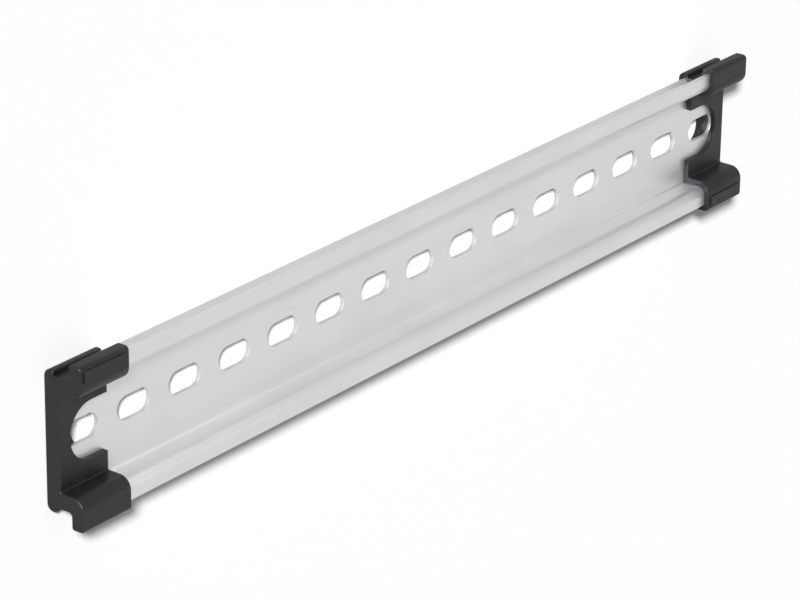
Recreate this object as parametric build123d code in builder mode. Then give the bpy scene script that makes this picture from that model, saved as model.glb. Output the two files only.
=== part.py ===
"""Top-hat mounting rail for switchgear, with a moulded clip pushed on each end.

The rail is one strip of top-hat section: a web, two sidewalls and two flanges,
with a row of slots punched along the web. Devices hook over the two flange edges,
and the web's back corners stand out as narrow heels. A clip closes each end and
wraps the section on both sides.

Frame, in millimetres: X runs along the rail, Y across it, and Z up out of the
open channel. The assembly lies on its back on Z = 0, the back faces of the clips.
"""

import os

from build123d import *

# Rail: a 35 by 7.5 top-hat section with 1 mm walls
RAIL_WIDTH = 35.0
RAIL_DEPTH = 7.5
CHANNEL_WIDTH = 25.2
SHEET = 1.0
WALL_LEAN = 0.35
FLANGE_BEND = 1.0
CREASE_ROUND = 0.5
EDGE_BREAK = 0.15

# Heels: the web's narrow lips, which stand out past both sidewalls
HEEL_OVERHANG = 1.05
HEEL_HEIGHT = 1.1
HEEL_RIM = 0.3

# Slots along the web, three in every 50 mm, and the least wall left at a cut end
SLOT_PITCH = 50.0 / 3
SLOT_LENGTH = 10.6
SLOT_WIDTH = 5.7
END_WALL_OF_WEB = 1.2

# Whole assembly, over both clips
OVERALL_LENGTH = 250.0

# Clip walls
CLIP_LENGTH = 15.0
BACK_PLATE = 1.5
END_WALL = 1.5
FRONT_PLATE = 1.35
INNER_LINING = 1.25
OUTER_LINING = 1.4
FLANGE_COVER = 1.2
LIP_EDGE = 1.3
LIP_BEHIND = 1.0

# Wall of the bars that wrap the rail's heels
BAR_WALL = 1.2

# Windows in the front and back plates, open towards the middle of the rail
FRONT_WINDOW_WIDTH = 13.5
FRONT_WINDOW_DEPTH = 11.6
BACK_WINDOW_WIDTH = 9.0
BACK_WINDOW_DEPTH = 8.7

# Plain raised pad on one hook of each clip
PAD_HEIGHT = 0.3
PAD_WIDTH = 2.8
PAD_LENGTH = 13.0

# Rounding of the clip
HOOK_ROUND = 3.0
LIP_FRONT_ROUND = 1.0
LIP_BACK_ROUND = 0.7
BAR_BACK_ROUND = 1.7
BAR_FRONT_ROUND = 0.5
VALLEY_ROUND = 0.9
END_FACE_ROUND = 0.4
PLATE_ROUND = 0.3

# Play between the sheet and the clip's pocket, and at the rail's cut end
PLAY = 0.1
END_PLAY = 0.1

# Levels above the floor that the parts share
web_back = BACK_PLATE
web_front = web_back + SHEET
flange_front = web_back + RAIL_DEPTH
flange_back = flange_front - SHEET
plate_front = web_front + PLAY + FRONT_PLATE
strip_front = flange_front + PLAY + FLANGE_COVER
lip_back = flange_back - PLAY - LIP_BEHIND
heel_rim = web_back + HEEL_RIM
heel_front = web_back + HEEL_HEIGHT

# Half-widths across the rail, the sidewalls leaning out towards the web
channel_side = CHANNEL_WIDTH / 2
channel_base = channel_side + WALL_LEAN
hat_side = channel_side + SHEET
hat_base = channel_base + SHEET
heel_edge = hat_base + HEEL_OVERHANG
flange_edge = RAIL_WIDTH / 2
lining_inside = channel_side - PLAY - INNER_LINING
lining_outside = hat_side + PLAY + OUTER_LINING
lip_edge = flange_edge + PLAY + LIP_EDGE
bar_edge = heel_edge + PLAY + BAR_WALL

# Places along the rail
clip_outer = -OVERALL_LENGTH / 2
clip_inner = clip_outer + CLIP_LENGTH
rail_end = clip_outer + END_WALL + END_PLAY
rail_length = -2 * rail_end

# One slot sits in the middle, and the row runs out to both sides as far as it fits
slots_each_side = int((rail_length / 2 - END_WALL_OF_WEB - SLOT_LENGTH / 2) / SLOT_PITCH)
slot_count = 2 * slots_each_side + 1

os.makedirs("parts", exist_ok=True)


def corners(sketch, half_width, level):
    """The mirrored pair of profile corners at one half-width and level."""
    return sketch.vertices().filter_by(
        lambda v: abs(abs(v.X) - half_width) < 1e-4 and abs(v.Y - level) < 1e-4
    )


with BuildPart() as rail:
    # The section: web with its heels, sidewalls and flanges, sharp edges slightly broken
    with BuildSketch(Plane.YZ) as section:
        with BuildLine():
            half_hat = Polyline(
                (0, web_back),
                (heel_edge, web_back),
                (heel_edge, heel_rim),
                (hat_base, heel_front),
                (hat_side, flange_back),
                (flange_edge, flange_back),
                (flange_edge, flange_front),
                (channel_side, flange_front),
                (channel_base, web_front),
                (0, web_front),
            )
            mirror(half_hat, about=Plane.YZ)
        make_face()
        fillet(corners(section, heel_edge, web_back), radius=EDGE_BREAK)
        fillet(corners(section, heel_edge, heel_rim), radius=EDGE_BREAK)
        fillet(corners(section, hat_side, flange_back), radius=FLANGE_BEND)
        fillet(corners(section, flange_edge, flange_back), radius=EDGE_BREAK)
        fillet(corners(section, flange_edge, flange_front), radius=EDGE_BREAK)
        fillet(corners(section, channel_side, flange_front), radius=FLANGE_BEND + SHEET)
        fillet(corners(section, channel_base, web_front), radius=CREASE_ROUND)
    extrude(amount=rail_length / 2, both=True)

    # Row of punched slots down the middle of the web
    with BuildSketch(Plane.XY.offset(web_back)):
        with GridLocations(SLOT_PITCH, 0, slot_count, 1):
            SlotOverall(SLOT_LENGTH, SLOT_WIDTH)
    extrude(amount=SHEET, mode=Mode.SUBTRACT)

rail.part.label = "rail"
export_step(rail.part, "parts/rail.step")


with BuildPart() as end_clip_left:
    # Plate, linings, hooks and back bars share one outer profile
    with BuildSketch(Plane.YZ.offset(clip_outer)) as profile:
        with BuildLine():
            half = Polyline(
                (0, 0),
                (bar_edge, 0),
                (bar_edge, heel_front),
                (lining_outside, heel_front),
                (lining_outside, lip_back),
                (lip_edge, lip_back),
                (lip_edge, strip_front),
                (lining_inside, strip_front),
                (lining_inside, plate_front),
                (0, plate_front),
            )
            mirror(half, about=Plane.YZ)
        make_face()
        fillet(corners(profile, bar_edge, 0), radius=BAR_BACK_ROUND)
        fillet(corners(profile, bar_edge, heel_front), radius=BAR_FRONT_ROUND)
        fillet(corners(profile, lining_outside, lip_back), radius=VALLEY_ROUND)
        fillet(corners(profile, lip_edge, lip_back), radius=LIP_BACK_ROUND)
        fillet(corners(profile, lip_edge, strip_front), radius=LIP_FRONT_ROUND)
        fillet(corners(profile, lining_inside, strip_front), radius=HOOK_ROUND)
        fillet(corners(profile, lining_inside, plate_front), radius=PLATE_ROUND)
    extrude(amount=CLIP_LENGTH)
    fillet(faces().sort_by(Axis.X)[0].edges(), radius=END_FACE_ROUND)

    # Pocket that takes the end of the rail, with play all round its section
    with BuildSketch(Plane.YZ.offset(clip_outer + END_WALL)):
        add(section.sketch_local)
        offset(amount=PLAY)
    extrude(amount=CLIP_LENGTH, mode=Mode.SUBTRACT)

    # Windows through the front and back plates
    with BuildSketch(Plane.XY.offset(web_front)):
        with Locations((clip_inner, 0)):
            SlotOverall(2 * FRONT_WINDOW_DEPTH, FRONT_WINDOW_WIDTH)
    extrude(amount=2 * FRONT_PLATE, mode=Mode.SUBTRACT)
    with BuildSketch(Plane.XY.offset(web_back)):
        with Locations((clip_inner, 0)):
            SlotOverall(2 * BACK_WINDOW_DEPTH, BACK_WINDOW_WIDTH)
    extrude(amount=-2 * BACK_PLATE, mode=Mode.SUBTRACT)

    # Plain raised pad on one hook
    with BuildSketch(Plane.XY.offset(strip_front)):
        with Locations((clip_outer + CLIP_LENGTH / 2, lip_edge - LIP_FRONT_ROUND - PAD_WIDTH / 2)):
            RectangleRounded(PAD_LENGTH, PAD_WIDTH, PLATE_ROUND)
    extrude(amount=PAD_HEIGHT)

end_clip_left.part.label = "end_clip_left"
export_step(end_clip_left.part, "parts/end_clip_left.step")


# The same moulding turned half round closes the other end
with BuildPart() as end_clip_right:
    add(end_clip_left.part.rotate(Axis.Z, 180))

end_clip_right.part.label = "end_clip_right"
export_step(end_clip_right.part, "parts/end_clip_right.step")
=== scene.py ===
"""Looks of a slotted top-hat rail with a moulded clip on each end.

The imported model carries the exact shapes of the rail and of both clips. This script
rounds their edges, gives them their finishes, adds the fine burr that the punch left
round each slot, and sets up the floor, the light and the camera. All lengths are in
metres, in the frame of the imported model: X runs along the rail, Y across it and Z up.
"""

from __future__ import annotations

import logging
import math
from dataclasses import dataclass, field
from enum import Enum

import bpy
from mathutils import Matrix, Vector


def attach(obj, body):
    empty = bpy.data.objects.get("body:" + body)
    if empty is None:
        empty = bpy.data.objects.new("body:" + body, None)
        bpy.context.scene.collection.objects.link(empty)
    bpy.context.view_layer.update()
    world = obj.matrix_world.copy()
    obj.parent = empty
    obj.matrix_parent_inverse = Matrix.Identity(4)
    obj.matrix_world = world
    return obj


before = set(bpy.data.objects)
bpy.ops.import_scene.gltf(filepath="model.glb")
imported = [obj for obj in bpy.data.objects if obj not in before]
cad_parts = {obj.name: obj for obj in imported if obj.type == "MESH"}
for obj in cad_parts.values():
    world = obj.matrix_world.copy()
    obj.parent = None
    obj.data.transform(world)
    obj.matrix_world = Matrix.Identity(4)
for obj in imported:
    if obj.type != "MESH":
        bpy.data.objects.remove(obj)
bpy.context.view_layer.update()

LOG = logging.getLogger("rail")
MM = 0.001
ROOT_BODY = "root"

# Places of the sockets whose names a Mix node or a Random Value node repeats
MIX_FIRST, MIX_SECOND, MIX_RESULT = 6, 7, 2
RANDOM_LOW, RANDOM_HIGH, RANDOM_RESULT = 2, 3, 1

Socket = bpy.types.NodeSocket
Triple = tuple[float, float, float]
Span = tuple[float, float]


class Slot(Enum):
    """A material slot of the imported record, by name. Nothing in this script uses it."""

    RAIL = "rail_metal"


class Side(Enum):
    """The two ends of the rail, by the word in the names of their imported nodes."""

    LEFT = "left"
    RIGHT = "right"


@dataclass(frozen=True)
class Grain:
    """One noise pattern: grains per metre along X, Y and Z, octaves and their weight."""

    per_metre: Triple
    octaves: float
    octave_weight: float


class Graph:
    """A node tree with short ways to add and link nodes."""

    def __init__(self, tree: bpy.types.NodeTree) -> None:
        """Starts with an empty tree.

        Args:
            tree: the node tree to fill.
        """
        self.tree = tree
        self.tree.nodes.clear()

    def add(self, kind: str, **settings: object) -> bpy.types.Node:
        """Adds a node and sets its properties.

        Args:
            kind: the node's type name.
            settings: properties of the node, by name.

        Returns:
            The new node.
        """
        node = self.tree.nodes.new(kind)
        for name, value in settings.items():
            setattr(node, name, value)
        return node

    def feed(self, value: object, target: Socket) -> None:
        """Gives an input its value.

        Args:
            value: a socket to link, or a plain value to set.
            target: the input.
        """
        if isinstance(value, Socket):
            self.tree.links.new(value, target)
        else:
            target.default_value = value

    def math(self, operation: str, a: Socket | float, b: Socket | float = 0.0) -> Socket:
        """Adds a Math node.

        Args:
            operation: the Math node's operation.
            a: the first value, a socket or a number.
            b: the second value, a socket or a number.

        Returns:
            The result's socket.
        """
        node = self.add("ShaderNodeMath", operation=operation)
        self.feed(a, node.inputs[0])
        self.feed(b, node.inputs[1])
        return node.outputs[0]

    def blend(self, first: Socket, second: Socket, first_share: float) -> Socket:
        """Adds two values up by their shares.

        Args:
            first: the first value.
            second: the second value.
            first_share: the share of the first value, from 0 to 1.

        Returns:
            The sum's socket.
        """
        part = self.math("MULTIPLY", first, first_share)
        rest = self.math("MULTIPLY", second, 1.0 - first_share)
        return self.math("ADD", part, rest)

    def ramp(self, value: Socket, low: float, high: float, out_low: float = 0.0,
             out_high: float = 1.0, smooth: bool = True) -> Socket:
        """Maps a value from one range to another, held at both ends.

        Args:
            value: the socket that is read.
            low: where the output starts to leave out_low.
            high: where the output reaches out_high.
            out_low: the output at and below low.
            out_high: the output at and above high.
            smooth: whether the change eases in and out.

        Returns:
            The mapped value's socket.
        """
        easing = "SMOOTHSTEP" if smooth else "LINEAR"
        node = self.add("ShaderNodeMapRange", interpolation_type=easing)
        values = {"Value": value, "From Min": low, "From Max": high, "To Min": out_low, "To Max": out_high}
        for name, entry in values.items():
            self.feed(entry, node.inputs[name])
        return node.outputs["Result"]

    def noise(self, place: Socket, grain: Grain) -> Socket:
        """Adds noise whose grain may differ along X, Y and Z.

        Args:
            place: the place that is read, in metres.
            grain: the pattern.

        Returns:
            The noise value's socket, from 0 to 1.
        """
        mapping = self.add("ShaderNodeMapping")
        self.feed(grain.per_metre, mapping.inputs["Scale"])
        self.feed(place, mapping.inputs["Vector"])
        noise = self.add("ShaderNodeTexNoise")
        self.feed(1.0, noise.inputs["Scale"])
        self.feed(grain.octaves, noise.inputs["Detail"])
        self.feed(grain.octave_weight, noise.inputs["Roughness"])
        self.feed(mapping.outputs["Vector"], noise.inputs["Vector"])
        return noise.outputs["Fac"]

    def shades(self, share: Socket, low: Socket | Triple, high: Socket | Triple) -> Socket:
        """Mixes two colours.

        Args:
            share: the share of the second colour.
            low: the first colour.
            high: the second colour.

        Returns:
            The mixed colour's socket.
        """
        node = self.add("ShaderNodeMix", data_type="RGBA")
        self.feed(share, node.inputs["Factor"])
        for colour, place in ((low, MIX_FIRST), (high, MIX_SECOND)):
            opaque = colour if isinstance(colour, Socket) else (*colour, 1.0)
            self.feed(opaque, node.inputs[place])
        return node.outputs[MIX_RESULT]

    def relief(self, height: Socket, distance: float) -> Socket:
        """Turns a pattern into fine relief.

        Args:
            height: the pattern, read as a height.
            distance: how high 1 in the pattern stands, in metres.

        Returns:
            The shading normal's socket.
        """
        bump = self.add("ShaderNodeBump")
        self.feed(1.0, bump.inputs["Strength"])
        self.feed(distance, bump.inputs["Distance"])
        self.feed(height, bump.inputs["Height"])
        return bump.outputs["Normal"]

    def close(self, surface: Socket, output: str = "ShaderNodeOutputMaterial") -> None:
        """Hands the finished surface to the tree's output.

        Args:
            surface: the finished shader's socket.
            output: the output node's type name.
        """
        self.feed(surface, self.add(output).inputs["Surface"])


def new_material(name: str) -> tuple[bpy.types.Material, Graph]:
    """Starts a material.

    Args:
        name: the material's name.

    Returns:
        The material and its empty node tree.
    """
    material = bpy.data.materials.new(name)
    material.use_nodes = True
    return material, Graph(material.node_tree)


@dataclass(frozen=True)
class SatinMetal:
    """Light grey satin plating on rolled sheet, with fine rolling lines along X."""

    name: str = "satin_plated_sheet"
    light: Triple = (0.80, 0.808, 0.812)
    dark: Triple = (0.765, 0.773, 0.777)
    cut_wall: Triple = (0.73, 0.73, 0.73)
    roughness: Span = (0.40, 0.49)
    cut_roughness: float = 0.12
    metallic: float = 0.92
    bloom: Grain = Grain((60.0, 110.0, 110.0), 4.0, 0.55)
    lines: Grain = Grain((35.0, 5200.0, 5200.0), 2.0, 0.6)
    speckle: Grain = Grain((2600.0, 4200.0, 4200.0), 2.0, 0.6)
    bloom_share: float = 0.6
    tone_span: Span = (0.36, 0.64)
    speckle_span: Span = (0.3, 0.7)
    speckle_relief: float = 0.6
    line_height: float = 0.0012 * MM
    web_back: float = 1.5 * MM
    web_front: float = 2.5 * MM
    slot_half_width: float = 2.85 * MM
    fade_start: float = 0.05 * MM
    fade_end: float = 0.12 * MM
    side_start: float = 0.1 * MM
    side_end: float = 0.3 * MM

    def slot_walls(self, graph: Graph, place: Socket) -> Socket:
        """Finds the walls of the slots, between the two faces of the web.

        Args:
            graph: the material's tree.
            place: the place that is read, in metres.

        Returns:
            A socket that is 1 on the slots' walls and 0 on the web's faces and beside the slots.
        """
        axes = graph.add("ShaderNodeSeparateXYZ")
        graph.feed(place, axes.inputs["Vector"])
        level = axes.outputs["Z"]
        above = graph.ramp(level, self.web_back + self.fade_start, self.web_back + self.fade_end)
        below = graph.ramp(level, self.web_front - self.fade_end, self.web_front - self.fade_start, 1.0, 0.0)
        across = graph.math("ABSOLUTE", axes.outputs["Y"])
        inner, outer = self.slot_half_width + self.side_start, self.slot_half_width + self.side_end
        inside = graph.ramp(across, inner, outer, 1.0, 0.0)
        return graph.math("MULTIPLY", graph.math("MULTIPLY", above, below), inside)

    def material(self) -> bpy.types.Material:
        """Builds the metal's material.

        Returns:
            The material, read in object coordinates.
        """
        material, graph = new_material(self.name)
        place = graph.add("ShaderNodeTexCoord").outputs["Object"]
        bloom = graph.noise(place, self.bloom)
        lines = graph.noise(place, self.lines)
        speckle = graph.noise(place, self.speckle)
        tone = graph.blend(bloom, lines, self.bloom_share)
        face = graph.shades(graph.ramp(tone, *self.tone_span), self.dark, self.light)
        wall = self.slot_walls(graph, place)
        satin = graph.ramp(speckle, *self.speckle_span, *self.roughness)
        rough = graph.math("ADD", satin, graph.math("MULTIPLY", wall, self.cut_roughness))
        height = graph.math("ADD", lines, graph.math("MULTIPLY", speckle, self.speckle_relief))
        shader = graph.add("ShaderNodeBsdfPrincipled")
        graph.feed(self.metallic, shader.inputs["Metallic"])
        graph.feed(graph.shades(wall, face, self.cut_wall), shader.inputs["Base Color"])
        graph.feed(rough, shader.inputs["Roughness"])
        graph.feed(graph.relief(height, self.line_height), shader.inputs["Normal"])
        graph.close(shader.outputs["BSDF"])
        return material


@dataclass(frozen=True)
class MouldedPlastic:
    """Black moulded plastic with a soft sheen and a fine eroded grain."""

    name: str = "black_moulded_plastic"
    light: Triple = (0.0056, 0.0060, 0.0066)
    dark: Triple = (0.0036, 0.0039, 0.0043)
    roughness: Span = (0.44, 0.54)
    ior: float = 1.5
    sheen_tint: Triple = (0.90, 0.95, 1.0)
    cloud: Grain = Grain((300.0, 300.0, 300.0), 3.0, 0.55)
    erosion: Grain = Grain((5200.0, 5200.0, 5200.0), 2.0, 0.55)
    cloud_share: float = 0.6
    tone_span: Span = (0.35, 0.65)
    sheen_span: Span = (0.35, 0.65)
    grain_height: float = 0.004 * MM

    def material(self) -> bpy.types.Material:
        """Builds the plastic's material.

        Returns:
            The material, read in object coordinates.
        """
        material, graph = new_material(self.name)
        place = graph.add("ShaderNodeTexCoord").outputs["Object"]
        cloud = graph.noise(place, self.cloud)
        erosion = graph.noise(place, self.erosion)
        tone = graph.shades(graph.ramp(cloud, *self.tone_span), self.dark, self.light)
        sheen = graph.blend(cloud, erosion, self.cloud_share)
        shader = graph.add("ShaderNodeBsdfPrincipled")
        graph.feed(self.ior, shader.inputs["IOR"])
        graph.feed((*self.sheen_tint, 1.0), shader.inputs["Specular Tint"])
        graph.feed(tone, shader.inputs["Base Color"])
        graph.feed(graph.ramp(sheen, *self.sheen_span, *self.roughness), shader.inputs["Roughness"])
        graph.feed(graph.relief(erosion, self.grain_height), shader.inputs["Normal"])
        graph.close(shader.outputs["BSDF"])
        return material


def seen_ray(graph: Graph) -> Socket:
    """The share of a ray that comes straight from the camera, a gloss or a clear body.

    Args:
        graph: the tree that the nodes are added to.

    Returns:
        A socket that is 1 for such a ray and 0 for any other.
    """
    path = graph.add("ShaderNodeLightPath")
    seen = graph.math("MAXIMUM", path.outputs["Is Camera Ray"], path.outputs["Is Glossy Ray"])
    return graph.math("MAXIMUM", seen, path.outputs["Is Transmission Ray"])


@dataclass
class Studio:
    """Pale floor, soft key light from the upper left and a white surround.

    The surround is weaker where it only fills, and on the +Y side for every ray but the
    camera's. The floor is darker in a gloss than where the camera sees it.
    """

    floor_half: float = 3.0
    floor_drop: float = 0.02 * MM
    floor_colour: Triple = (0.95, 0.95, 0.95)
    floor_in_gloss: Triple = (0.64, 0.64, 0.64)
    floor_lift: float = 0.055
    surround_seen: float = 1.0
    surround_fill: float = 0.22
    surround_far_side: float = 0.80
    far_side_span: Span = (-0.35, 0.45)
    key_direction: Triple = (-1.34, 0.95, 1.0)
    key_strength: float = 5.0
    key_angle_deg: float = 8.0

    def floor_paper(self) -> bpy.types.Material:
        """Builds the floor's material, a matt paper that glows a little where it is seen.

        Returns:
            The material.
        """
        material, graph = new_material("floor_paper")
        paper = graph.add("ShaderNodeBsdfDiffuse")
        glossy = graph.add("ShaderNodeLightPath").outputs["Is Glossy Ray"]
        graph.feed(graph.shades(glossy, self.floor_colour, self.floor_in_gloss), paper.inputs["Color"])
        glow = graph.add("ShaderNodeEmission")
        graph.feed(graph.math("MULTIPLY", seen_ray(graph), self.floor_lift), glow.inputs["Strength"])
        both = graph.add("ShaderNodeAddShader")
        graph.feed(paper.outputs["BSDF"], both.inputs[0])
        graph.feed(glow.outputs["Emission"], both.inputs[1])
        graph.close(both.outputs["Shader"])
        return material

    def build_floor(self) -> None:
        """Lays the floor just under the clips' back faces."""
        half, level = self.floor_half, -self.floor_drop
        rim = [(-half, -half, level), (half, -half, level), (half, half, level), (-half, half, level)]
        mesh = bpy.data.meshes.new("floor")
        mesh.from_pydata(rim, [], [(0, 1, 2, 3)])
        floor = bpy.data.objects.new("floor", mesh)
        bpy.context.scene.collection.objects.link(floor)
        mesh.materials.append(self.floor_paper())

    def build_surround(self) -> None:
        """Makes the white surround: full where it is seen, weaker where it only fills."""
        world = bpy.data.worlds.new("surround")
        world.use_nodes = True
        graph = Graph(world.node_tree)
        strengths = (self.surround_fill, self.surround_seen)
        strength = graph.ramp(seen_ray(graph), 0.0, 1.0, *strengths, smooth=False)
        direction = graph.add("ShaderNodeSeparateXYZ")
        graph.feed(graph.add("ShaderNodeTexCoord").outputs["Generated"], direction.inputs["Vector"])
        side = graph.ramp(direction.outputs["Y"], *self.far_side_span, 1.0, self.surround_far_side)
        camera = graph.add("ShaderNodeLightPath").outputs["Is Camera Ray"]
        strength = graph.math("MULTIPLY", strength, graph.math("MAXIMUM", side, camera))
        backdrop = graph.add("ShaderNodeBackground")
        graph.feed(strength, backdrop.inputs["Strength"])
        graph.close(backdrop.outputs["Background"], "ShaderNodeOutputWorld")
        bpy.context.scene.world = world

    def build_key(self) -> None:
        """Hangs the key light, a wide soft sun."""
        lamp = bpy.data.lights.new("key", "SUN")
        lamp.energy = self.key_strength
        lamp.angle = math.radians(self.key_angle_deg)
        key = bpy.data.objects.new("key", lamp)
        key.rotation_euler = Vector(self.key_direction).to_track_quat("Z", "Y").to_euler()
        bpy.context.scene.collection.objects.link(key)

    def build(self) -> None:
        """Builds the floor, the surround and the key light."""
        self.build_floor()
        self.build_surround()
        self.build_key()


@dataclass
class Viewpoint:
    """The camera, on the line of sight that the photograph was taken from."""

    place: Triple = (-0.666083, 0.344969, 0.504331)
    right: Triple = (0.6100952, 0.0124552, 0.7922302)
    up: Triple = (0.3026039, 0.9204195, -0.2475054)
    lens_mm: float = 176.004
    sensor_mm: float = 36.0
    reach: Span = (0.01, 20.0)

    def build(self) -> None:
        """Makes the camera and hands it to the scene."""
        data = bpy.data.cameras.new("viewpoint")
        data.lens = self.lens_mm
        data.sensor_width = self.sensor_mm
        data.clip_start, data.clip_end = self.reach
        camera = bpy.data.objects.new("viewpoint", data)
        right = Vector(self.right).normalized()
        back = right.cross(Vector(self.up)).normalized()
        up = back.cross(right)
        turn = Matrix((right, up, back)).transposed().to_4x4()
        camera.matrix_world = Matrix.Translation(Vector(self.place)) @ turn
        bpy.context.scene.collection.objects.link(camera)
        bpy.context.scene.camera = camera


@dataclass
class EdgeRounding:
    """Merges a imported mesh's loose triangles and rounds its sharp edges."""

    width: float
    segments: int = 2
    limit_deg: float = 32.0
    merge: float = 0.002 * MM

    def apply_to(self, node: bpy.types.Object) -> None:
        """Adds the live modifiers to a node.

        Args:
            node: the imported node, whose own mesh stays as it is.
        """
        weld = node.modifiers.new("merge", "WELD")
        weld.merge_threshold = self.merge
        bevel = node.modifiers.new("edges", "BEVEL")
        bevel.width = self.width
        bevel.segments = self.segments
        bevel.limit_method = "ANGLE"
        bevel.angle_limit = math.radians(self.limit_deg)
        bevel.harden_normals = True
        bevel.use_clamp_overlap = True


@dataclass
class PunchBurr:
    """The fine burr that the punch raised round each slot, on the web's back.

    A Geometry Nodes tree sweeps a small profile round one slot's outline, repeats it
    along the row and gives every burr its own height from a fixed seed.
    """

    name: str = "slot_burrs"
    slots: int = 15
    pitch: float = 50.0 / 3 * MM
    slot_radius: float = 2.85 * MM
    straight_half: float = 2.45 * MM
    web_back: float = 1.5 * MM
    height: float = 0.07 * MM
    width: float = 0.16 * MM
    arc_steps: int = 14
    profile_steps: int = 6
    height_spread: float = 0.25
    seed: int = 7

    def outline(self) -> bpy.types.Object:
        """Makes one slot's outline as a closed ring of edges.

        Returns:
            The outline's object, centred on the origin.
        """
        mid = self.slot_radius + self.width / 2
        ring = []
        for turn, centre in ((-0.5, self.straight_half), (0.5, -self.straight_half)):
            for step in range(self.arc_steps + 1):
                angle = math.pi * (turn + step / self.arc_steps)
                ring.append((centre + mid * math.cos(angle), mid * math.sin(angle), 0.0))
        count = len(ring)
        mesh = bpy.data.meshes.new("slot_outline")
        mesh.from_pydata(ring, [(i, (i + 1) % count) for i in range(count)], [])
        outline = bpy.data.objects.new("slot_outline", mesh)
        bpy.context.scene.collection.objects.link(outline)
        return outline

    def inputs(self, metal: bpy.types.Material) -> dict[str, tuple[str, object]]:
        """Lists the tree's inputs.

        Args:
            metal: the rail's own material.

        Returns:
            The socket type and the value of each input, by name.
        """
        return {
            "Count": ("NodeSocketInt", self.slots),
            "Pitch": ("NodeSocketFloat", self.pitch),
            "Width": ("NodeSocketFloat", self.width),
            "Height": ("NodeSocketFloat", self.height),
            "Spread": ("NodeSocketFloat", self.height_spread),
            "Steps": ("NodeSocketInt", self.profile_steps),
            "Seed": ("NodeSocketInt", self.seed),
            "Level": ("NodeSocketFloat", self.web_back),
            "Material": ("NodeSocketMaterial", metal),
        }

    def sweep(self, graph: Graph, given: bpy.types.NodeOutputs) -> Socket:
        """Sweeps a round profile along the slot's outline.

        Args:
            graph: the Geometry Nodes tree.
            given: the tree's inputs.

        Returns:
            The socket of one burr's mesh, before it takes its height.
        """
        ring = graph.add("GeometryNodeMeshToCurve")
        graph.feed(given["Geometry"], ring.inputs["Mesh"])
        profile = graph.add("GeometryNodeCurvePrimitiveCircle")
        graph.feed(given["Steps"], profile.inputs["Resolution"])
        graph.feed(graph.math("MULTIPLY", given["Width"], 0.5), profile.inputs["Radius"])
        swept = graph.add("GeometryNodeCurveToMesh")
        graph.feed(ring.outputs["Curve"], swept.inputs["Curve"])
        graph.feed(profile.outputs["Curve"], swept.inputs["Profile Curve"])
        return swept.outputs["Mesh"]

    def row(self, graph: Graph, given: bpy.types.NodeOutputs) -> Socket:
        """Lays a row of points, one at the middle of each slot.

        Args:
            graph: the Geometry Nodes tree.
            given: the tree's inputs.

        Returns:
            The points' socket.
        """
        first = graph.math("MULTIPLY", graph.math("SUBTRACT", given["Count"], 1.0), -0.5)
        start = graph.add("ShaderNodeCombineXYZ")
        graph.feed(graph.math("MULTIPLY", first, given["Pitch"]), start.inputs["X"])
        graph.feed(given["Level"], start.inputs["Z"])
        step = graph.add("ShaderNodeCombineXYZ")
        graph.feed(given["Pitch"], step.inputs["X"])
        row = graph.add("GeometryNodeMeshLine")
        graph.feed(given["Count"], row.inputs["Count"])
        graph.feed(start.outputs["Vector"], row.inputs["Start Location"])
        graph.feed(step.outputs["Vector"], row.inputs["Offset"])
        return row.outputs["Mesh"]

    def stretch(self, graph: Graph, given: bpy.types.NodeOutputs) -> Socket:
        """Gives each burr its own height, from the seed.

        Args:
            graph: the Geometry Nodes tree.
            given: the tree's inputs.

        Returns:
            The socket of each burr's scale.
        """
        chance = graph.add("FunctionNodeRandomValue", data_type="FLOAT")
        graph.feed(graph.math("SUBTRACT", 1.0, given["Spread"]), chance.inputs[RANDOM_LOW])
        graph.feed(1.0, chance.inputs[RANDOM_HIGH])
        graph.feed(given["Seed"], chance.inputs["Seed"])
        tall = graph.math("DIVIDE", given["Height"], graph.math("MULTIPLY", given["Width"], 0.5))
        scale = graph.add("ShaderNodeCombineXYZ")
        graph.feed(1.0, scale.inputs["X"])
        graph.feed(1.0, scale.inputs["Y"])
        graph.feed(graph.math("MULTIPLY", tall, chance.outputs[RANDOM_RESULT]), scale.inputs["Z"])
        return scale.outputs["Vector"]

    def tree(self, metal: bpy.types.Material) -> bpy.types.NodeTree:
        """Builds the tree: sweep, row, height of each burr, realize, material.

        Args:
            metal: the rail's own material.

        Returns:
            The node tree, with named inputs.
        """
        tree = bpy.data.node_groups.new("burr_row", "GeometryNodeTree")
        face = tree.interface
        face.new_socket("Geometry", in_out="INPUT", socket_type="NodeSocketGeometry")
        for name, (kind, _) in self.inputs(metal).items():
            face.new_socket(name, in_out="INPUT", socket_type=kind)
        face.new_socket("Geometry", in_out="OUTPUT", socket_type="NodeSocketGeometry")
        graph = Graph(tree)
        given = graph.add("NodeGroupInput").outputs
        swept = self.sweep(graph, given)
        points = self.row(graph, given)
        scale = self.stretch(graph, given)
        placed = graph.add("GeometryNodeInstanceOnPoints")
        graph.feed(points, placed.inputs["Points"])
        graph.feed(swept, placed.inputs["Instance"])
        graph.feed(scale, placed.inputs["Scale"])
        real = graph.add("GeometryNodeRealizeInstances")
        graph.feed(placed.outputs["Instances"], real.inputs["Geometry"])
        painted = graph.add("GeometryNodeSetMaterial")
        graph.feed(real.outputs["Geometry"], painted.inputs["Geometry"])
        graph.feed(given["Material"], painted.inputs["Material"])
        graph.feed(painted.outputs["Geometry"], graph.add("NodeGroupOutput").inputs["Geometry"])
        return tree

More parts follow.
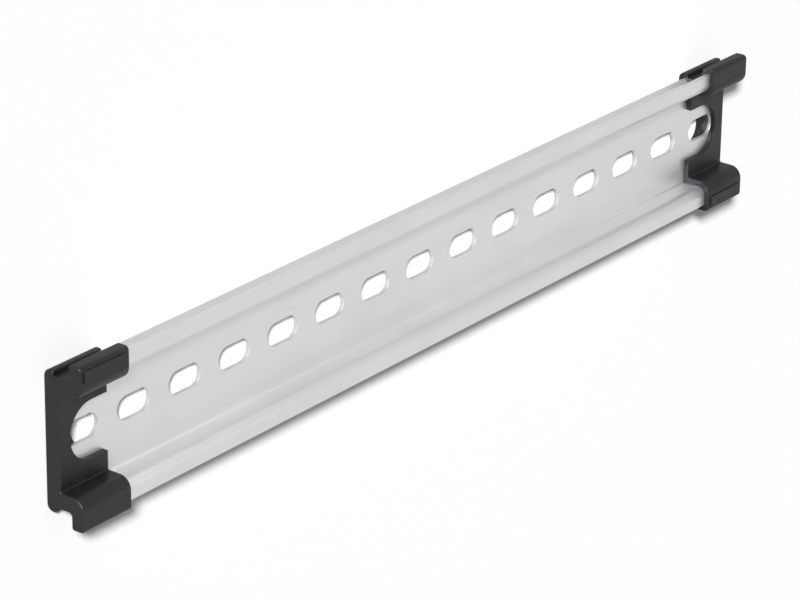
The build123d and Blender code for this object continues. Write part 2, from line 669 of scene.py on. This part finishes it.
    def build(self, metal: bpy.types.Material) -> None:
        """Builds the row of burrs as one plain mesh piece.

        Args:
            metal: the rail's own material.
        """
        outline = self.outline()
        modifier = outline.modifiers.new("burrs", "NODES")
        modifier.node_group = self.tree(metal)
        values = self.inputs(metal)
        for socket in modifier.node_group.interface.items_tree:
            if socket.in_out == "INPUT" and socket.name in values:
                modifier[socket.identifier] = values[socket.name][1]
        solid = outline.evaluated_get(bpy.context.evaluated_depsgraph_get())
        mesh = bpy.data.meshes.new_from_object(solid)
        bpy.data.objects.remove(outline)
        for facet in mesh.polygons:
            facet.use_smooth = True
        burrs = bpy.data.objects.new(self.name, mesh)
        bpy.context.scene.collection.objects.link(burrs)
        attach(burrs, ROOT_BODY)
        LOG.info("%s: %d faces", self.name, len(mesh.polygons))


@dataclass
class Rail:
    """The rolled and punched rail, with the burrs round its slots."""

    node: str = "rail"
    burr: PunchBurr = field(default_factory=PunchBurr)
    finish: SatinMetal = field(default_factory=SatinMetal)
    edges: EdgeRounding = field(default_factory=lambda: EdgeRounding(width=0.12 * MM))

    def build(self) -> None:
        """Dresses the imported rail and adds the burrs."""
        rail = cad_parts[self.node]
        metal = self.finish.material()
        rail.data.materials[0] = metal
        self.edges.apply_to(rail)
        self.burr.build(metal)
        LOG.info("rail dressed")


@dataclass
class EndClip:
    """One moulded end clip."""

    side: Side
    finish: bpy.types.Material
    edges: EdgeRounding = field(default_factory=lambda: EdgeRounding(width=0.15 * MM))

    @property
    def node(self) -> str:
        """Name of the clip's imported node."""
        return f"end_clip_{self.side.value}"

    def build(self) -> None:
        """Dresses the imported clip."""
        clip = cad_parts[self.node]
        clip.data.materials[0] = self.finish
        self.edges.apply_to(clip)
        LOG.info("%s dressed", self.node)


def set_view() -> None:
    """Sets the plain colour transform."""
    bpy.context.scene.view_settings.view_transform = "Standard"


def main() -> None:
    """Builds the classes in order."""
    logging.basicConfig(level=logging.INFO)
    set_view()
    Studio().build()
    Viewpoint().build()
    Rail().build()
    plastic = MouldedPlastic().material()
    for side in Side:
        EndClip(side, plastic).build()


if __name__ == "__main__":
    main()
